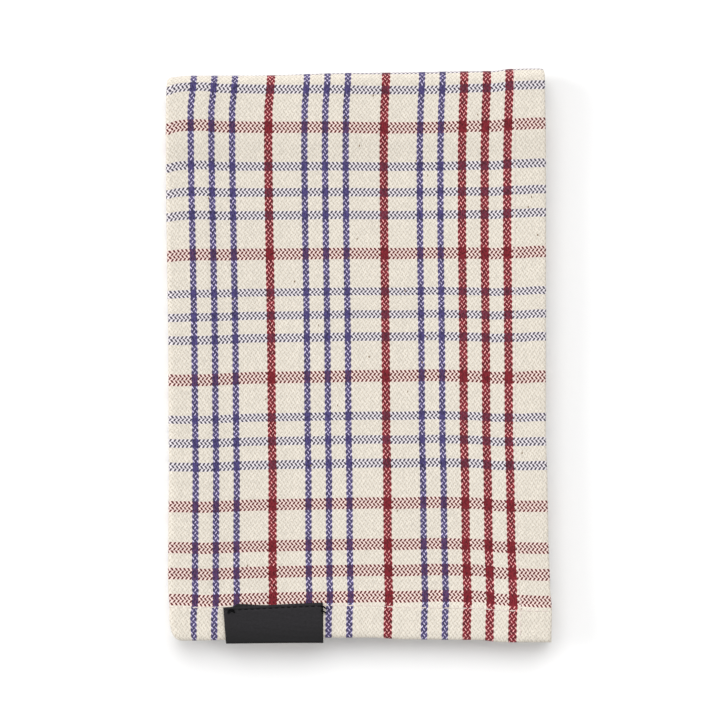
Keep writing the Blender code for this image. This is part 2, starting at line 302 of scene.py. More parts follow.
WEFT_DRIFT_HEIGHTS = (-100, 0, 100)
WEFT_BEAT = (
    # height on the pack, how much further up the picks lie all across, since they are beaten in unevenly
    (-96, 0.4),
    (-75, 0.8),
    (-59, -0.1),
    (-33, 0.9),
    (-24, -0.1),
    (-8, 0.5),
    (8, 0.9),
    (17, 0.8),
    (26, -0.4),
    (41, -0.3),
    (66, -0.1),
    (92, 0.3),
    (107, 0.0),
    (108.5, 0.0),
    (111.9, -2.8),
)

# How finely the sheet is cut
FACE_STEP = 1.5 * MM
HIDDEN_STEP = 7 * MM
SIDE_FOLD_STEPS = 8
INNER_END_STEPS = 10
OUTER_END_STEPS = 18
RIM_STEPS = 4

# The camera looks straight down, so far up that the pack hardly shows its sides
CAMERA_HEIGHT = 1.5
SENSOR = 36.0  # mm
FRAME_WIDTH = 286.6 * MM
FRAME_CENTRE = (0.55 * MM, -1.60 * MM)
FRAME_LEVEL = 11 * MM  # the height at which the frame has that width

# Yarn colours: undyed cotton and the two dyes, also as they look beside or under each other. A pit is an
# undyed pick that shows between the ends, darker by painted shade; between dyed ends painted reflection tints
# it with their dye. Undyed ends beside dyed picks carry a painted highlight, tinted the same way. Shaded is a
# dyed pick that shows, darker by painted shade, and deep is an end over a pick of its dye
ECRU = "#D5CEC2"
ECRU_PIT_PAINTED_SHADE = "#C2B9AB"
ECRU_BY_RED_PAINTED_HIGHLIGHT = "#E1CCC4"
ECRU_BY_BLUE_PAINTED_HIGHLIGHT = "#DAD4D8"
RED = "#7B202A"
RED_PIT_PAINTED_SHADE = "#E4A7A4"
RED_PICK_PAINTED_SHADE = "#5C2423"
RED_DEEP = "#740D1F"
RED_UNDER_BLUE = "#441F50"
BLUE = "#534B74"
BLUE_PIT_PAINTED_SHADE = "#CAC1DB"
BLUE_PICK_PAINTED_SHADE = "#47424E"
BLUE_DEEP = "#3C3272"
BLUE_UNDER_RED = "#5E1C36"
SEED = "#7E6A54"

# Where a pick shows it is drawn as a stroke, and the yarn is uneven
STROKE_WIDE = 0.62  # in ends
STROKE_LONG = 1.12  # in picks
STROKE_LEAN = 0.75  # in ends for each pick
STROKE_DYED = 0.6  # how much larger a dyed pick's stroke is drawn
STROKE_CLOSED = 0.2  # how much smaller a stroke between dyed ends is drawn
STROKE_EDGE = (1.15, 0.85)  # where a stroke begins, and where it is full
CROWDING = 0.3  # in ends
YARN_LEVEL = 0.84  # the darkest undyed yarn, to which these spreads add
FLOAT_SPREAD = 0.06
FLOAT_RATE = 0.7  # for each pick
FLOAT_STAGGER = 0.25  # from one end to the next
CROSSING_SPREAD = 0.2
END_SPREAD = 0.04
SLUB_SPREAD = 0.06
SLUB_RATE = 0.12  # how much slower a slub changes along an end than across the ends
DYE_SPREAD = 0.7  # from the darkest dyed float to the lightest
# Painted shade on dyed ends where they crowd together: how much darker, and over which stroke sizes
CROWDED_PAINTED_SHADE = 0.3
CROWDED_SHADE_FROM = (1.2, 2.1)  # in stroke sizes
SHOW_THROUGH = 0.6  # how far a dyed pick changes the colour of the dyed ends over it
TINGED = 0.6  # how far dyed ends change the colour of a dyed pick between them
SEEDS = 0.0005  # share of the floats that carry a fleck of seed

# The label's ribbon, the sewing thread and the board
TAPE_DARK = "#151316"
TAPE_LIGHT = "#1F1D21"
TAPE_RIB = 0.45  # mm: the real ribs, at 0.2 mm, are too fine to show
TAPE_CORD = 0.4  # mm
TAPE_FOLD_PAINTED_SHADE = (9.0, 0.35)  # painted shade: mm from its fold over which it darkens the ribbon, and the share of the colour left at the fold itself
PLY_TURN = 0.7  # mm
BOARD = "#F4F4F4"
BOARD_HALF = 3.0
BOARD_GAP = 0.05 * MM  # left under the towel, so that no two faces coincide


# -------- folding


def ease(share):
    """A smooth step from 0 to 1: 3 s squared minus 2 s cubed, with s held between 0 and 1."""
    share = np.clip(share, 0, 1)
    return share * share * (3 - 2 * share)


def along(rows, place):
    """The offset at each place along an edge: eased from one row of its table to the next."""
    rows = np.array(sorted(rows)) * MM
    offset = np.full_like(place, rows[0][1])
    for (start, first), (end, second) in zip(rows, rows[1:]):
        offset += (second - first) * ease((place - start) / (end - start))
    return offset


def fold_in_thirds_lengthwise(u, w):
    """x and the height inside the strip: flat runs joined by half circles whose radius grows by w.

    The inner layer runs right, turns down round the inner side fold, runs left underneath, turns up round
    the outer side fold and runs right again on top.
    """
    run = u - INNER_PANEL
    turn = np.clip(run / INNER_SIDE_ARC, 0, 1) * math.pi
    back = run - INNER_SIDE_ARC
    turn_back = np.clip((back - UNDER_PANEL) / OUTER_SIDE_ARC, 0, 1) * math.pi
    last = back - UNDER_PANEL - OUTER_SIDE_ARC
    inner = INNER_SIDE_RADIUS + w
    outer = OUTER_SIDE_RADIUS + w
    first_half = back < UNDER_PANEL / 2
    x = np.where(
        first_half,
        INNER_SIDE_X + np.minimum(run, 0) + inner * np.sin(turn) - np.maximum(back, 0),
        OUTER_SIDE_X + np.maximum(UNDER_PANEL - back, 0) - outer * np.sin(turn_back) + np.maximum(last, 0),
    )
    height = np.where(
        first_half,
        (INNER_AT + UNDER_AT) / 2 + inner * np.cos(turn),
        (OUTER_AT + UNDER_AT) / 2 - outer * np.cos(turn_back),
    )
    return x, height


def fold_in_thirds_crosswise(v, height):
    """y and z: the three-layer strip folded again in the same way, with its top face outermost."""
    run = v - MIDDLE_STRIP
    turn = np.clip(run / INNER_END_ARC, 0, 1) * math.pi
    back = run - INNER_END_ARC
    turn_back = np.clip((back - BASE_STRIP) / OUTER_END_ARC, 0, 1) * math.pi
    last = back - BASE_STRIP - OUTER_END_ARC
    inner = INNER_END_RADIUS + height
    outer = OUTER_END_RADIUS + height
    first_half = back < BASE_STRIP / 2
    y = np.where(
        first_half,
        INNER_END_Y - np.minimum(run, 0) - inner * np.sin(turn) + np.maximum(back, 0),
        OUTER_END_Y - np.maximum(BASE_STRIP - back, 0) + outer * np.sin(turn_back) - np.maximum(last, 0),
    )
    z = np.where(
        first_half,
        INNER_END_Z + inner * np.cos(turn),
        OUTER_END_Z - outer * np.cos(turn_back),
    )
    return y, z


def lift_over_hems(x, y, z):
    """How far each point is lifted by the hems at or below it: each hem thickens its own layers.

    The cloth comes down beside a hem along an eased slope. Layers further above the hem bridge it in a
    wider one, so a hem deep in the pack hardly shows on top.
    """
    lift = np.zeros_like(z)
    for axis, edge, side, layers in HEMS:
        place = (x, y)[axis]
        for layer in layers:
            above = np.maximum(z - (layer + 1) * PITCH, 0)
            share = ease(1 + side * (place - edge) / (HEM_SLOPE + HEM_BRIDGE * above))
            through = np.clip((z - layer * PITCH) / CLOTH_THICK, 0, 1)
            lift += HEM_RISE * share * through
    return lift


def round_corners(x, y):
    """How far each point is drawn in from the side near a corner: a quarter ellipse, fading into the pack."""
    shift = np.zeros_like(x)
    for corner_x, corner_y, inward, length, width in CORNERS:
        near = np.clip(1 - abs(y - corner_y) / length, 0, 1)
        fade = np.clip(1 - abs(x - corner_x) / width, 0, 1)
        shift -= np.sign(corner_x) * inward * (1 - np.sqrt(1 - near**2)) * fade
    return shift


def square_off(y, z):
    """Presses the big fold squarer above its middle: from a circle out to a superellipse, along the radius.

    A point's distance out and up from the fold's axis are both multiplied by the circle's norm over the
    superellipse's norm, the root of that power of their powers' sum.
    """
    out = np.maximum(y - OUTER_END_Y, 0)
    up = np.maximum(z - OUTER_END_Z, 0)
    norm = (out**FOLD_POWER + up**FOLD_POWER) ** (1 / FOLD_POWER)
    grow = np.hypot(out, up) / np.maximum(norm, 1e-9) - 1
    return y + out * np.maximum(grow, 0), z + up * np.maximum(grow, 0)


def settle(x, y, z):
    """Moves a squarely folded point to where it lies: edges run unevenly, and layers climb over the hems.

    Sideways moves blend from one edge's offset to the opposite one's. Heights stretch in proportion to z,
    so the underside stays flat and no layer reaches another.
    """
    y, z = square_off(y, z)
    across = (x - PACK_LEFT) / (PACK_RIGHT - PACK_LEFT)
    up = (y - PACK_BOTTOM) / (PACK_TOP - PACK_BOTTOM)
    sink = SAG * np.sin(math.pi * np.clip(across, 0, 1)) * np.sin(math.pi * np.clip(up, 0, 1))
    wave = WAVE * np.sin(2 * math.pi * x / WAVE_WIDE + WAVE_START) * np.sin(2 * math.pi * y / WAVE_LONG)
    lift = lift_over_hems(x, y, z) + (wave - sink) * z / PACK_THICK
    shift_x = along(LEFT_EDGE, y) * (1 - across) + along(RIGHT_EDGE, y) * across + round_corners(x, y)
    shift_y = along(BOTTOM_EDGE, x) * (1 - up) + along(TOP_EDGE, x) * up
    return x + shift_x, y + shift_y, z + lift


def on_cloth(u, v, w):
    """The settled place of points of the cloth, before the whole pack is set into its frame."""
    x, height = fold_in_thirds_lengthwise(u, w)
    y, z = fold_in_thirds_crosswise(v, height)
    return np.stack(settle(x, y, z), axis=-1)


# -------- meshes


def lines_between(start, end, step):
    """Evenly spaced places from start to end, no further apart than step."""
    return list(np.linspace(start, end, math.ceil(abs(end - start) / step) + 1))


def stations(places, step):
    """Every place in order, with evenly spaced ones added between those that are far apart."""
    places = sorted(places)
    found = [places[0]]
    for start, end in zip(places, places[1:]):
        found += lines_between(start, end, step)[1:]
    return found


def mesh_object(name, points, *face_arrays):
    """A smooth mesh object at the origin. Faces are turned outwards if they enclose a negative volume."""
    points = np.asarray(points, float)
    volume = 0.0
    for faces in face_arrays:
        for corner in range(1, faces.shape[1] - 1):
            volume += np.linalg.det(points[faces[:, [0, corner, corner + 1]]]).sum()
    turned = -1 if volume < 0 else 1
    listed = [face for faces in face_arrays for face in faces[:, ::turned].tolist()]
    mesh = bpy.data.meshes.new(name)
    mesh.from_pydata(points.tolist(), [], listed)
    mesh.shade_smooth()
    made = bpy.data.objects.new(name, mesh)
    bpy.context.scene.collection.objects.link(made)
    return made


def give_vectors(piece, label, values):
    """Puts a vector on each point of a piece, for its material to read."""
    attribute = piece.data.attributes.new(label, "FLOAT_VECTOR", "POINT")
    attribute.data.foreach_set("vector", values.astype(np.float32).ravel())


def closed_sheet(name, upper, lower, labels):
    """A closed sheet from two grids of points that share their border: (rows, columns, 3) each.

    labels names per-point vectors, each a pair of grids like the points, for the materials to read.
    """
    rows, columns = upper.shape[:2]
    top = np.arange(rows * columns).reshape(rows, columns)
    inside = np.zeros((rows, columns), bool)
    inside[1:-1, 1:-1] = True
    under = top.copy()
    under[inside] = rows * columns + np.arange(inside.sum())

    def quads(number):
        corners = [number[:-1, :-1], number[:-1, 1:], number[1:, 1:], number[1:, :-1]]
        return np.stack(corners, -1).reshape(-1, 4)

    points = np.concatenate([upper.reshape(-1, 3), lower[inside]])
    made = mesh_object(name, points, quads(top), quads(under)[:, ::-1])
    for label, (above, below) in labels.items():
        give_vectors(made, label, np.concatenate([above.reshape(-1, 3), below[inside]]))
    return made


def strands(name, paths, thickness):
    """Round strands, closed at both ends, all in one mesh: paths is an array (strands, rings + 2, 3).

    Each ring is the path's point plus, for each angle, the radius times its cosine along the sideways
    direction and its sine along the one square to that and to the path. Next to the ends it is thinner.
    """
    forward = np.gradient(paths, axis=1)
    forward /= np.linalg.norm(forward, axis=-1, keepdims=True)
    sideways = np.cross(forward, [0.0, 0.0, 1.0])
    sideways /= np.linalg.norm(sideways, axis=-1, keepdims=True)
    upwards = np.cross(sideways, forward)
    angles = np.arange(STRAND_SIDES) / STRAND_SIDES * 2 * math.pi
    count, stops = paths.shape[:2]
    rings = stops - 2
    share = np.linspace(-1, 1, stops)[1:-1, None, None]
    radius = thickness / 2 * np.sqrt(1 - abs(share) ** 6)
    round_it = np.cos(angles)[:, None] * sideways[:, 1:-1, None]
    round_it = round_it + np.sin(angles)[:, None] * upwards[:, 1:-1, None]
    ring_points = paths[:, 1:-1, None] + radius * round_it
    points = np.concatenate([paths[:, :1], ring_points.reshape(count, -1, 3), paths[:, -1:]], axis=1)
    per_strand = rings * STRAND_SIDES + 2
    number = 1 + np.arange(rings * STRAND_SIDES).reshape(rings, STRAND_SIDES)
    following = np.roll(number, -1, axis=1)
    quads = np.stack([number[:-1], following[:-1], following[1:], number[1:]], -1).reshape(-1, 4)
    first = np.stack([np.zeros_like(number[0]), following[0], number[0]], -1)
    last = np.stack([np.full_like(number[0], per_strand - 1), number[-1], following[-1]], -1)
    caps = np.concatenate([first, last])
    offsets = (np.arange(count) * per_strand)[:, None, None]
    arrays = [(faces[None] + offsets).reshape(-1, faces.shape[1]) for faces in (quads, caps)]
    made = mesh_object(name, points.reshape(-1, 3), *arrays)
    lengths = np.linalg.norm(np.diff(paths, axis=1), axis=-1).cumsum(axis=1)
    along_it = np.concatenate([np.zeros((count, 1)), lengths], axis=1)
    wound = np.zeros((count, per_strand, 3))
    wound[:, 1:-1, 0] = np.repeat(along_it[:, 1:-1], STRAND_SIDES, axis=1) / MM
    wound[:, -1, 0] = along_it[:, -1] / MM
    wound[:, 1:-1, 1] = np.tile(angles / (2 * math.pi), rings)
    give_vectors(made, "wound", wound)
    return made


def rounded_half(distance, half, reach=None):
    """Half the thickness near an edge: a quarter ellipse, from nothing at the edge itself to half at reach.

    Without a reach it is a quarter circle of radius half.
    """
    share = np.clip(distance / (reach or half), 0, 1)
    return half * np.sqrt(1 - (1 - share) ** 2)


# -------- the towel


def rim_lines(length, reach):
    """Places close to both ends of a length that round its rim: steps of equal angle on a quarter ellipse."""
    angles = np.linspace(0, math.pi / 2, RIM_STEPS + 1)
    insets = reach * (1 - np.cos(angles))
    return [*insets, *(length - insets)]


def seam_lines(length):
    """Places across the seams of the hems at both ends of a length, close enough to draw their groove."""
    offsets = SEAM_REACH * np.array([-1.6, -1.0, -0.6, -0.3, 0, 0.3, 0.6, 1.0, 1.6])
    return [*(HEM_WIDTH + offsets), *(length - HEM_WIDTH + offsets)]


def lines_over_folds(length, runs, first_arc, fold_steps, reach):
    """Lines across one way of the cloth: close together on the run that shows, wider apart on the two below.

    runs are its three flat runs, with a fold after the first and the second, and reach is its rim's.
    """
    first, second, last = runs
    second_start = first + first_arc
    second_end = second_start + second
    last_start = length - last
    rims = rim_lines(length, reach)
    shown = [place for place in seam_lines(length) + rims if place > last_start]
    shown += [last_start, length - HEM_WIDTH - HEM_SLOPE]
    hidden = [place for place in rims + [HEM_WIDTH, HEM_WIDTH + HEM_SLOPE] if place < first]
    fold_lines = [
        *np.linspace(first, second_start, fold_steps[0] + 1),
        *np.linspace(second_end, last_start, fold_steps[1] + 1),
    ]
    coarse = stations([*hidden, first], HIDDEN_STEP) + stations([second_start, second_end], HIDDEN_STEP)
    return np.unique(np.round([*coarse, *fold_lines, *stations(shown, FACE_STEP)], 7))


def end_hem(u):
    """How far the end hem's seam lies from its edge: more by SEAM_LEAN from the side hem to the left fold."""
    return HEM_WIDTH + SEAM_LEAN * np.clip((CLOTH_WIDTH - u) / OUTER_PANEL, 0, 1)


def face_height(u, v):
    """w of the cloth's outer face: half the thickness, less at the rims and seams, and more over the hems.

    Rims are quarter ellipses, and a seam's groove is a cosine wave. The hems' padding and the ridge beside
    the uppermost end are sines, drawn fuller by a power below 1. The ridge stays on the panel that shows.
    """
    side = np.minimum(u, CLOTH_WIDTH - u)
    end = np.minimum(v, CLOTH_LENGTH - v)
    edge = np.minimum(side, end)
    height = np.minimum(rounded_half(side, HALF, SIDE_RIM), rounded_half(end, HALF, END_RIM))
    for distance, other, width in ((side, end, HEM_WIDTH), (end, side, end_hem(u))):
        groove = 0.5 + 0.5 * np.cos(math.pi * np.clip((distance - width) / SEAM_REACH, -1, 1))
        height = height - SEAM_GROOVE * groove * np.clip(other / HALF, 0, 1)
    pad = np.sin(math.pi * np.clip(edge / HEM_WIDTH, 0, 1)) ** PAD_POWER
    ridge = np.sin(math.pi * np.clip((CLOTH_LENGTH - v) / RIDGE_WIDTH, 0, 1)) ** RIDGE_POWER
    shown = ease((u - CLOTH_WIDTH + OUTER_PANEL) / OUTER_SIDE_ARC + 1) * np.clip(side / SIDE_RIM, 0, 1)
    return height + HEM_PAD * pad + RIDGE * ridge * shown


def thread_numbers(u, v, x, y):
    """The end and pick numbers at points of the cloth whose squarely folded place is x, y.

    Each is the length of cloth from the uppermost hem over the thread pitch, less the drift there. Round the
    big end fold the outer face runs on a larger circle than the strip's middle, so its threads are counted at
    their real pitch where the fold starts and closer together towards its end.
    """
    from_side = CLOTH_WIDTH - u
    from_end = CLOTH_LENGTH - v
    turn = np.clip((from_end - TOP_STRIP) / OUTER_END_ARC, 0, 1) * math.pi
    middle_radius = OUTER_END_RADIUS + STRIP_THICK / 2
    face_radius = OUTER_END_RADIUS + OUTER_AT
    extra = (face_radius - middle_radius) * turn * (1 - turn / math.pi)
    from_end = from_end + extra
    heights, left, right = np.array(sorted(WARP_DRIFT)).T * MM
    across = (x - PACK_LEFT) / (PACK_RIGHT - PACK_LEFT)
    drift_x = np.interp(y, heights, left) * (1 - across) + np.interp(y, heights, right) * across
    places, *levels = np.array(WEFT_DRIFT).T * MM
    columns = np.stack([np.interp(x, places, level) for level in levels])
    rung = np.interp(y, np.array(WEFT_DRIFT_HEIGHTS) * MM, np.arange(len(levels)))
    low = np.minimum(rung.astype(int), len(levels) - 2)
    near = np.take_along_axis(columns, low[None], 0)[0]
    far = np.take_along_axis(columns, low[None] + 1, 0)[0]
    drift_y = near + (far - near) * (rung - low)
    drift_y += np.interp(y, *np.array(sorted(WEFT_BEAT)).T * MM)
    return (from_side + drift_x) / END_PITCH, (from_end - drift_y) / PICK_PITCH


def towel_cloth():
    """The folded cloth as one closed sheet, and the move that sets it into the CAD node's box."""
    side_steps = (SIDE_FOLD_STEPS, SIDE_FOLD_STEPS)
    end_steps = (INNER_END_STEPS, OUTER_END_STEPS)
    side_runs = (INNER_PANEL, UNDER_PANEL, OUTER_PANEL)
    end_runs = (MIDDLE_STRIP, BASE_STRIP, TOP_STRIP)
    u, v = np.meshgrid(
        lines_over_folds(CLOTH_WIDTH, side_runs, INNER_SIDE_ARC, side_steps, SIDE_RIM),
        lines_over_folds(CLOTH_LENGTH, end_runs, INNER_END_ARC, end_steps, END_RIM),
    )
    outer = face_height(u, v)
    inner = -rounded_half(np.minimum.reduce([u, CLOTH_WIDTH - u, v, CLOTH_LENGTH - v]), HALF)
    x, height = fold_in_thirds_lengthwise(u, np.zeros_like(u))
    y, _ = fold_in_thirds_crosswise(v, height)
    ends, picks = thread_numbers(u, v, x, y)
    upper = on_cloth(u, v, outer)
    lower = on_cloth(u, v, inner)
    cad_low, cad_high = (np.array(corner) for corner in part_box("towel"))
    every = np.concatenate([upper.reshape(-1, 3), lower.reshape(-1, 3)])
    move = (cad_low + cad_high) / 2 - (every.min(0) + every.max(0)) / 2
    move[2] = cad_low[2] - every[:, 2].min()
    face = np.stack([ends, picks, np.ones_like(ends)], -1)
    reverse = np.stack([ends, picks, -np.ones_like(ends)], -1)
    towel = closed_sheet("towel_cloth", upper + move, lower + move, {"threads": (face, reverse)})
    return towel, move


def seam_stitches(move):
    """The hems' stitches where they show: short strands in the groove, whose ends dip into the cloth.

    Along a stitch the height is the face's, plus an arch of 1 minus the fourth power of the place from -1
    to 1, less the depth at which its ends lie.
    """
    side_seam = CLOTH_WIDTH - HEM_WIDTH
    side_row = CLOTH_LENGTH - TOP_STRIP - OUTER_END_ARC
    end_row = CLOTH_WIDTH - OUTER_PANEL - OUTER_SIDE_ARC
    along_side = np.arange(side_row, CLOTH_LENGTH - HEM_ROW_END, HEM_STITCH_PITCH)
    along_end = np.arange(end_row, CLOTH_WIDTH - HEM_ROW_END, HEM_STITCH_PITCH)
    share = np.linspace(-1, 1, STRAND_RINGS + 2)
    run_v = along_side[:, None] + share * HEM_STITCH / 2
    run_u = along_end[:, None] + share * HEM_STITCH / 2
    u = np.concatenate([np.full_like(run_v, side_seam), run_u])
    v = np.concatenate([run_v, CLOTH_LENGTH - end_hem(run_u)])
    arch = (1 - share**4) * HEM_ARCH - HEM_SUNK
    return strands("hem_stitches", on_cloth(u, v, face_height(u, v) + arch) + move, HEM_THREAD)


# -------- the label


def on_tape(u, run, w):
    """The place of points of the tape: up its under ply, round the fold at the bottom, and up the upper ply.

    u runs across the tape and run along it, from the under ply's raw end. The plies are straight and the
    fold is half a circle. Across and along, a point is blended from the four corners. The under ply leans
    to the right as it goes up, and in its last fifth the raw end sticks out near the left.
    """
    corner = {name: np.array(place) for name, place in TAPE_CORNERS.items()}
    height = corner["top left"][1] - corner["bottom left"][1]
    fold_radius = (TAPE_THICK + LAYER_GAP) / 2
    straight = height - fold_radius - TAPE_THICK / 2
    arc = math.pi * fold_radius
    turn = np.clip((run - straight) / arc, 0, 1) * math.pi
    beyond = np.maximum(run - straight - arc, 0)
    down = (np.minimum(run, straight) - beyond + (fold_radius + w) * np.sin(turn)) / height
    rise = fold_radius + TAPE_THICK / 2 - (fold_radius + w) * np.cos(turn)
    across = u / TAPE_WIDTH
    down, across = down[..., None], across[..., None]
    left = corner["top left"] * (1 - down) + corner["bottom left"] * down
    right = corner["top right"] * (1 - down) + corner["bottom right"] * down
    place = left * (1 - across) + right * across
    under = np.clip(1 - turn / math.pi, 0, 1)
    raw = under * (1 - down[..., 0])
    grown = ease((u - FRAY_GROWS[0]) / (FRAY_GROWS[1] - FRAY_GROWS[0]))
    fray = TAPE_FRAY * grown * ease((FRAY_SHRINKS[1] - u) / (FRAY_SHRINKS[1] - FRAY_SHRINKS[0]))
    x = place[..., 0] + TAPE_TURNED * raw
    y = place[..., 1] + fray * ease(5 * raw - 4)
    z = PACK_THICK + LAYER_GAP + rise
    return np.stack(settle(x, y, z), axis=-1)


def tape_length():
    """The tape's own length from one raw end to the other."""
    height = TAPE_CORNERS["top left"][1] - TAPE_CORNERS["bottom left"][1]
    fold_radius = (TAPE_THICK + LAYER_GAP) / 2
    return 2 * (height - fold_radius - TAPE_THICK / 2) + math.pi * fold_radius


def tape_label(move):
    """The doubled tape as one closed sheet, with a groove along its stitches that is a cosine wave."""
    length = tape_length()
    half = TAPE_THICK / 2
    angles = np.linspace(0, math.pi / 2, RIM_STEPS + 1)
    insets = half * (1 - np.cos(angles))
    across = stations([*insets, *(TAPE_WIDTH - insets)], TAPE_STEP_ACROSS)
    seam = length - TAPE_SEAM + SEAM_REACH / 2 * np.array([-1, -0.5, 0, 0.5, 1])
    middle = length / 2 + np.linspace(-1, 1, TAPE_FOLD_LINES) * math.pi * (TAPE_THICK + LAYER_GAP) / 4
    runs = stations([*insets, *(length - insets), *seam, *middle], TAPE_STEP_ALONG)
    u, run = np.meshgrid(np.unique(np.round(across, 7)), np.unique(np.round(runs, 7)))
    edge = np.minimum.reduce([u, TAPE_WIDTH - u, run, length - run])
    outer = rounded_half(edge, half)
    groove = 0.5 + 0.5 * np.cos(math.pi * np.clip((length - run - TAPE_SEAM) / (SEAM_REACH / 2), -1, 1))
    pressed = outer - TAPE_SEAM_GROOVE * groove * np.clip(edge / half, 0, 1)
    upper = on_tape(u, run, pressed) + move
    lower = on_tape(u, run, -rounded_half(edge, half)) + move
    on_it = np.stack([u / MM, run / MM, np.zeros_like(u)], -1)
    return closed_sheet("tape_label", upper, lower, {"tape": (on_it, on_it)})


def label_stitches(move):
    """The row of black stitches along the label's top, and the ends of its thread.

    The knot at the row's start is a Lissajous curve, a figure of eight on its side, that rises and falls
    three times on its way round. Two loose ends run out over the label's right edge in a shallow bow and
    come down on the cloth along an eased slope.
    """
    length = tape_length()
    share = np.linspace(-1, 1, STRAND_RINGS + 2)
    starts = np.arange(TAPE_ROW[0], TAPE_WIDTH - TAPE_ROW[1], TAPE_STITCH_PITCH)
    u = starts[:, None] + share * TAPE_STITCH / 2
    run = np.full_like(u, length - TAPE_SEAM)
    arch = (1 - share**4) * TAPE_ARCH - TAPE_SUNK
    row = on_tape(u, run, TAPE_THICK / 2 - TAPE_SEAM_GROOVE + arch) + move
    seam = strands("label_stitches", row, TAPE_THREAD)

    share = np.linspace(0, 1, THREAD_END_RINGS + 2)
    swing = 2 * math.pi * share
    knot_u = KNOT_AT[0] + KNOT_SIZE[0] / 2 * np.cos(swing + 0.4)
    knot_run = length - KNOT_AT[1] + KNOT_SIZE[1] / 2 * np.sin(2 * swing)
    knot_w = TAPE_THICK / 2 + THREAD_END * (0.5 + 0.4 * np.cos(3 * swing))
    paths = [(knot_u, knot_run, knot_w)]
    for start, end in LOOSE_ENDS:
        loose_u = TAPE_WIDTH + start[0] + (end[0] - start[0]) * share
        bow = TAIL_BOW * np.sin(math.pi * share)
        loose_run = length - start[1] - (end[1] - start[1]) * share + bow
        drop = TAIL_DROP * ease((loose_u - TAPE_WIDTH) / TAIL_SLOPE)
        paths.append((loose_u, loose_run, TAPE_THICK / 2 + THREAD_END / 2 - drop))
    u, run, w = np.array(paths).transpose(1, 0, 2)
    ends = strands("label_thread_ends", on_tape(u, run, w) + move, THREAD_END)
    return seam, ends


# -------- materials


def linear(hex_colour):
    """A colour written as sRGB hex, turned to linear with an alpha of 1."""
    parts = [int(hex_colour[i : i + 2], 16) / 255 for i in (1, 3, 5)]
    return tuple(p / 12.92 if p <= 0.04045 else ((p + 0.055) / 1.055) ** 2.4 for p in parts) + (1.0,)


def add(tree, kind, *inputs, sockets=None, **settings):
    """Adds a node with its settings, sets or links its inputs by place or name, and returns its outputs.

    A Mix node's colours are its inputs 6 and 7, and its output 2.
    """
    made = tree.nodes.new("ShaderNode" + kind)
    for name, value in settings.items():
        setattr(made, name, value)
    for key, value in {**dict(enumerate(inputs)), **(sockets or {})}.items():
        if isinstance(value, bpy.types.bpy_prop_collection):
            value = value[0]
        if isinstance(value, bpy.types.NodeSocket):
            tree.links.new(value, made.inputs[key])
        elif value is not None:
            made.inputs[key].default_value = value
    return made.outputs


def new_material(name):
    """An empty node material, and the function that adds a node to its tree."""
    material = bpy.data.materials.new(name)
    material.use_nodes = True
    material.node_tree.nodes.clear()
    return material, partial(add, material.node_tree)


def stripe_masks(put, threads, edge, start, repeat, repeated, middle):
    """1 where a thread number lies in a red stripe, and the same for blue.

    The number is first folded back at the middle of the cloth. Stripes near the hem have places of their
    own, and past the start the rest recur at every repeat.
    """
    number = put("Math", threads, float(middle), operation="PINGPONG")
    shifted = put("Math", number, float(start), operation="SUBTRACT")
    place = put("Math", shifted, float(repeat), operation="FLOORED_MODULO")
    past = put("Math", shifted, -0.5, operation="GREATER_THAN")
    masks = []
    for colour in ("red", "blue"):
        sums = []
        for counted, stripes in ((number, edge), (place, repeated)):
            total = 0.0
            for name, first, count in stripes:
                if name == colour:
                    inside = put("Math", counted, first + count / 2, count / 2, operation="COMPARE")
                    total = put("Math", inside, total, operation="ADD")
            sums.append(total)
        masks.append(put("Math", sums[1], past, sums[0], operation="MULTIPLY_ADD")[0])
    return masks


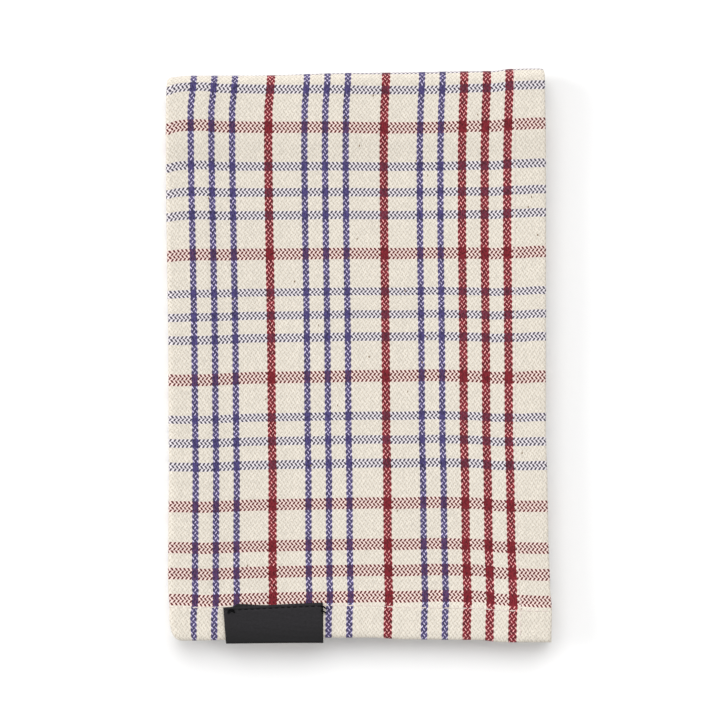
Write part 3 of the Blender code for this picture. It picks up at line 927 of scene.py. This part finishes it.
def cotton_twill():
    """Yarn-dyed cotton, woven as a 3/1 broken twill.

    It gives a matt cloth in which dyed ends show almost solid, like a braid, and dyed picks show as short
    strokes that lean left and right by turns. The yarn is carded, so it is uneven and has flecks of seed.
    """
    material, put = new_material("cotton_broken_twill")
    threads = put("Attribute", attribute_name="threads")["Vector"]
    ends, picks, face = put("SeparateXYZ", threads)

    # Every second row of strokes leans the other way and stands two ends along
    row = put("Math", put("Math", picks, 0.5, operation="MULTIPLY"), operation="FLOOR")
    odd = put("Math", row, 2.0, operation="FLOORED_MODULO")
    lean = put("Math", odd, -2.0, 1.0, operation="MULTIPLY_ADD")
    from_row = put("Math", row, -2.0, picks, operation="MULTIPLY_ADD")
    within = put("Math", from_row, -1.0, operation="ADD")
    centre = put("Math", odd, 2.0, 1.0, operation="MULTIPLY_ADD")
    from_centre = put("Math", ends, centre, operation="SUBTRACT")
    beside = put("Math", from_centre, 2.0, -2.0, operation="WRAP")
    leaned = put("Math", put("Math", lean, within, operation="MULTIPLY"), STROKE_LEAN, operation="MULTIPLY")
    slant = put("Math", beside, leaned, operation="SUBTRACT")

    # Ends crowd towards each place where one of them dips, so the stripes bulge and narrow by turns
    beat = put("Math", picks, math.pi / 2, -math.pi / 2, operation="MULTIPLY_ADD")
    crowd = put("Math", ends, math.pi / 2, -math.pi / 2, operation="MULTIPLY_ADD")
    swing = put("Math", put("Math", beat, operation="COSINE"), CROWDING, operation="MULTIPLY")
    crowded = put("Math", put("Math", crowd, operation="SINE"), swing, ends, operation="MULTIPLY_ADD")

    red_end, blue_end = stripe_masks(
        put, crowded, WARP_EDGE, WARP_FROM, WARP_REPEAT, WARP_REPEATED, WARP_MIDDLE
    )
    red_pick, blue_pick = stripe_masks(
        put, picks, WEFT_EDGE, WEFT_FROM, WEFT_REPEAT, WEFT_REPEATED, WEFT_MIDDLE
    )
    dyed_end = put("Math", red_end, blue_end, operation="ADD")
    dyed_pick = put("Math", red_pick, blue_pick, operation="ADD")

    # A stroke is an ellipse: larger where the pick is dyed, smaller between dyed ends, which close over it
    wide = put("Math", slant, 1 / STROKE_WIDE, operation="MULTIPLY")
    long = put("Math", within, 1 / STROKE_LONG, operation="MULTIPLY")
    shape = put("VectorMath", put("CombineXYZ", wide, long), operation="LENGTH")["Value"]
    shape = put("Math", dyed_pick, -STROKE_DYED, shape, operation="MULTIPLY_ADD")
    shape = put("Math", dyed_end, STROKE_CLOSED, shape, operation="MULTIPLY_ADD")
    stroke = put("MapRange", shape, *STROKE_EDGE, 0.0, 1.0, interpolation_type="SMOOTHSTEP")
    behind = put("Math", face, 0.0, operation="LESS_THAN")
    weft = put("Math", put("Math", behind, stroke, operation="SUBTRACT"), operation="ABSOLUTE")

    # Uneven yarn: every float, every crossing, each end, and slow changes along the ends
    end_number = put("Math", crowded, operation="FLOOR")
    up_float = put("Math", picks, FLOAT_RATE, operation="MULTIPLY")
    stagger = put("Math", end_number, FLOAT_STAGGER, up_float, operation="MULTIPLY_ADD")
    float_number = put("CombineXYZ", end_number, put("Math", stagger, operation="FLOOR"))
    per_float = put("TexWhiteNoise", float_number, noise_dimensions="2D")["Value"]
    crossing_number = put("CombineXYZ", end_number, put("Math", picks, operation="FLOOR"))
    per_crossing = put("TexWhiteNoise", crossing_number, noise_dimensions="2D")["Value"]
    per_end = put("TexWhiteNoise", sockets={"W": end_number[0]}, noise_dimensions="1D")["Value"]
    stretched = put("CombineXYZ", ends, put("Math", picks, SLUB_RATE, operation="MULTIPLY"))
    slub = put("TexNoise", sockets={"Vector": stretched[0], "Scale": 0.7, "Detail": 2.0})["Fac"]
    uneven = put("Math", per_float, FLOAT_SPREAD, YARN_LEVEL, operation="MULTIPLY_ADD")
    for noise, spread in ((per_crossing, CROSSING_SPREAD), (per_end, END_SPREAD), (slub, SLUB_SPREAD)):
        uneven = put("Math", noise, spread, uneven, operation="MULTIPLY_ADD")

    # Dyed ends took up the dye unevenly, and painted shade makes them darkest furthest from the strokes, where
    # they crowd together and shade each other
    uneven_dye_and_painted_shade = put("Math", per_float, DYE_SPREAD, -DYE_SPREAD / 2, operation="MULTIPLY_ADD")
    # Painted shade: the further a dyed end lies from the strokes, the darker
    deep = put("MapRange", shape, *CROWDED_SHADE_FROM, 0.0, CROWDED_PAINTED_SHADE, interpolation_type="SMOOTHSTEP")
    uneven_dye_and_painted_shade = put("Math", uneven_dye_and_painted_shade, deep, operation="SUBTRACT")
    uneven = put("Math", dyed_end, uneven_dye_and_painted_shade, uneven, operation="MULTIPLY_ADD")

    def dyed(red, blue, ground, red_yarn, blue_yarn):
        """The colour of yarns from the two masks of their stripes."""
        colour = put("Mix", data_type="RGBA", sockets={0: red, 6: ground, 7: linear(red_yarn)})[2]
        return put("Mix", data_type="RGBA", sockets={0: blue, 6: colour, 7: linear(blue_yarn)})[2]

    # Undyed ends beside dyed picks carry a painted highlight, tinted with the picks' dye by painted
    # reflection, and dyed picks change the colour of dyed ends over them. An undyed pick takes on the colour
    # of the dyed ends round it by painted reflection
    ground = dyed(red_pick, blue_pick, linear(ECRU), ECRU_BY_RED_PAINTED_HIGHLIGHT, ECRU_BY_BLUE_PAINTED_HIGHLIGHT)
    warp_colour = dyed(red_end, blue_end, ground, RED, BLUE)
    over_red = dyed(red_end, blue_end, warp_colour, RED_DEEP, RED_UNDER_BLUE)
    over_blue = dyed(red_end, blue_end, warp_colour, BLUE_UNDER_RED, BLUE_DEEP)
    for pick, over in ((red_pick, over_red), (blue_pick, over_blue)):
        showing = put("Math", pick, SHOW_THROUGH, operation="MULTIPLY")[0]
        warp_colour = put("Mix", data_type="RGBA", sockets={0: showing, 6: warp_colour, 7: over})[2]
    # Painted shade: pits are darker, and between dyed ends painted reflection tints them with the ends' dye
    pit = dyed(red_end, blue_end, linear(ECRU_PIT_PAINTED_SHADE), RED_PIT_PAINTED_SHADE, BLUE_PIT_PAINTED_SHADE)
    # Painted shade: a dyed pick that shows is darker, as it lies sunk between the ends
    shaded = dyed(red_pick, blue_pick, pit, RED_PICK_PAINTED_SHADE, BLUE_PICK_PAINTED_SHADE)
    both = put("Math", dyed_end, dyed_pick, operation="MULTIPLY")
    tinged = put("Math", both, TINGED, operation="MULTIPLY")[0]
    weft_colour = put("Mix", data_type="RGBA", sockets={0: tinged, 6: shaded, 7: warp_colour})[2]
    colour = put("Mix", data_type="RGBA", sockets={0: weft[0], 6: warp_colour, 7: weft_colour})[2]
    colour = put("VectorMath", colour, sockets={3: uneven[0]}, operation="SCALE")["Vector"]
    seeded = put("Math", per_float, 1 - SEEDS, operation="GREATER_THAN")[0]
    colour = put("Mix", data_type="RGBA", sockets={0: seeded, 6: colour, 7: linear(SEED)})[2]

    # Relief: rounded ends that stand over the strokes
    ridge = put("Math", put("Math", ends, 2 * math.pi, operation="MULTIPLY"), operation="COSINE")
    sunk = put("Math", stroke, -1.0, operation="MULTIPLY")
    relief = put("Math", ridge, -0.25, sunk, operation="MULTIPLY_ADD")
    bump = put("Bump", sockets={"Strength": 0.5, "Distance": 0.12 * MM, "Height": relief[0]})
    sockets = {
        "Base Color": colour,
        "Roughness": 0.92,
        "Specular IOR Level": 0.2,
        "Sheen Weight": 0.1,
        "Sheen Roughness": 0.6,
        "Normal": bump[0],
    }
    put("OutputMaterial", put("BsdfPrincipled", sockets=sockets))
    return material


def label_tape():
    """Black polyester ribbon, woven tight and heat-set: near black with a dull satin gleam and fine ribs."""
    material, put = new_material("black_woven_ribbon")
    across, run, _ = put("SeparateXYZ", put("Attribute", attribute_name="tape")["Vector"])
    rib = put("Math", put("Math", run, 2 * math.pi / TAPE_RIB, operation="MULTIPLY"), operation="COSINE")
    cord = put("Math", put("Math", across, 2 * math.pi / TAPE_CORD, operation="MULTIPLY"), operation="COSINE")
    woven = put("Math", put("Math", rib, cord, operation="MULTIPLY"), 0.4, rib, operation="MULTIPLY_ADD")
    place = put("CombineXYZ", put("Math", across, 0.5, operation="MULTIPLY"), run)
    uneven = put("TexNoise", sockets={"Vector": place[0], "Scale": 1.6, "Detail": 3.0})["Fac"]
    shade = put("MapRange", uneven, 0.3, 0.7, 0.0, 1.0)
    shades = {0: shade[0], 6: linear(TAPE_DARK), 7: linear(TAPE_LIGHT)}
    colour = put("Mix", data_type="RGBA", sockets=shades)[2]
    # Painted shade: the ribbon is darkened towards its fold, where the real one curves down away from the
    # light
    folded = tape_length() / 2 / MM
    reach, least = TAPE_FOLD_PAINTED_SHADE
    loose = put("MapRange", run, folded, folded + reach, least, 1.0, interpolation_type="SMOOTHSTEP")
    colour = put("VectorMath", colour, sockets={3: loose[0]}, operation="SCALE")["Vector"]
    bump = put("Bump", sockets={"Strength": 0.5, "Distance": 0.06 * MM, "Height": woven[0]})
    sockets = {"Base Color": colour, "Roughness": 0.6, "Specular IOR Level": 0.25, "Normal": bump[0]}
    put("OutputMaterial", put("BsdfPrincipled", sockets=sockets))
    return material


def sewing_thread(name, light, dark, roughness, specular):
    """Plied sewing thread: painted shade winds round it in the grooves between its plies, which are twisted
    together.

    The painted shade and the lighter ply crests slope along the strand as they go round it, once for each turn
    of the ply.
    """
    material, put = new_material(name)
    along_it, round_it, _ = put("SeparateXYZ", put("Attribute", attribute_name="wound")["Vector"])
    turned = put("Math", along_it, 1 / PLY_TURN, round_it, operation="MULTIPLY_ADD")
    ply = put("Math", put("Math", turned, 2 * math.pi, operation="MULTIPLY"), operation="COSINE")
    shade = put("MapRange", ply, -1.0, 1.0, 0.0, 1.0)
    # Painted shade in the grooves between the plies, and a lighter colour on their crests
    colour = put("Mix", data_type="RGBA", sockets={0: shade[0], 6: linear(dark), 7: linear(light)})[2]
    bump = put("Bump", sockets={"Strength": 0.6, "Distance": 0.05 * MM, "Height": ply[0]})
    sockets = {
        "Base Color": colour,
        "Roughness": roughness,
        "Specular IOR Level": specular,
        "Normal": bump[0],
    }
    put("OutputMaterial", put("BsdfPrincipled", sockets=sockets))
    return material


def plain_board():
    """Matt white painted board under the towel, which gives a pale ground and a soft shadow."""
    material, put = new_material("white_painted_board")
    grain = put("TexNoise", sockets={"Scale": 900.0, "Detail": 3.0})["Fac"]
    bump = put("Bump", sockets={"Strength": 0.05, "Distance": 0.05 * MM, "Height": grain})
    sockets = {
        "Base Color": linear(BOARD),
        "Roughness": 0.9,
        "Specular IOR Level": 0.1,
        "Normal": bump[0],
    }
    put("OutputMaterial", put("BsdfPrincipled", sockets=sockets))
    return material


# -------- the studio


def make_camera():
    """The camera straight above the frame's centre, with a lens that gives the frame its width."""
    data = bpy.data.cameras.new("overhead")
    data.sensor_width = SENSOR
    data.lens = SENSOR * (CAMERA_HEIGHT - FRAME_LEVEL) / FRAME_WIDTH
    data.clip_end = 20
    camera = bpy.data.objects.new("overhead", data)
    camera.location = (*FRAME_CENTRE, CAMERA_HEIGHT)
    bpy.context.scene.collection.objects.link(camera)
    bpy.context.scene.camera = camera


SOFTBOXES = (
    # name, degrees from overhead, degrees from the big fold to the left fold, strength, spread in radians
    ("softbox_beyond", 38.0, 0.0, 1.87, 1.0),
    ("softbox_left", 64.0, 78.0, 1.32, 0.5),
)
ROOM_LIGHT = 0.613


def make_studio():
    """A white floor, even light from all round, and two soft lights, beyond the big fold and at the left."""
    points = BOARD_HALF * np.array([[-1, -1, 0], [1, -1, 0], [1, 1, 0], [-1, 1, 0]]) - [0, 0, BOARD_GAP]
    floor = mesh_object("floor", points, np.array([[0, 1, 2, 3]]))
    floor.data.materials.append(plain_board())
    scene = bpy.context.scene
    scene.world = bpy.data.worlds.new("studio")
    scene.world.use_nodes = True
    background = scene.world.node_tree.nodes["Background"]
    background.inputs["Color"].default_value = (1, 1, 1, 1)
    background.inputs["Strength"].default_value = ROOM_LIGHT
    for name, from_overhead, towards_left, strength, spread in SOFTBOXES:
        data = bpy.data.lights.new(name, "SUN")
        data.energy = strength
        data.angle = spread
        softbox = bpy.data.objects.new(name, data)
        tilt, turn = math.radians(from_overhead), math.radians(towards_left)
        towards = Vector((-math.sin(turn) * math.sin(tilt), math.cos(turn) * math.sin(tilt), math.cos(tilt)))
        softbox.rotation_euler = towards.to_track_quat("Z", "Y").to_euler()
        scene.collection.objects.link(softbox)
    scene.view_settings.view_transform = "Standard"


def main():
    make_camera()
    make_studio()
    towel, move = towel_cloth()
    towel.data.materials.append(cotton_twill())
    hem_seam = seam_stitches(move)
    # The thread's lighter ply colour, then the painted shade of the grooves between its plies
    cotton_thread = sewing_thread("unbleached_cotton_thread", "#D6C9C2", "#CABDB5", 0.9, 0.2)
    hem_seam.data.materials.append(cotton_thread)
    label = tape_label(move)
    label.data.materials.append(label_tape())
    label_seam, thread_ends = label_stitches(move)
    # The thread's lighter ply colour, then the painted shade of the grooves between its plies
    black_thread = sewing_thread("black_polyester_thread", "#0F0F11", "#08080A", 0.8, 0.08)
    for piece in (label_seam, thread_ends):
        piece.data.materials.append(black_thread)
    for piece in (towel, hem_seam, label, label_seam, thread_ends):
        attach(piece, "root")
    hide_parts("towel")
    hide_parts("label")


main()
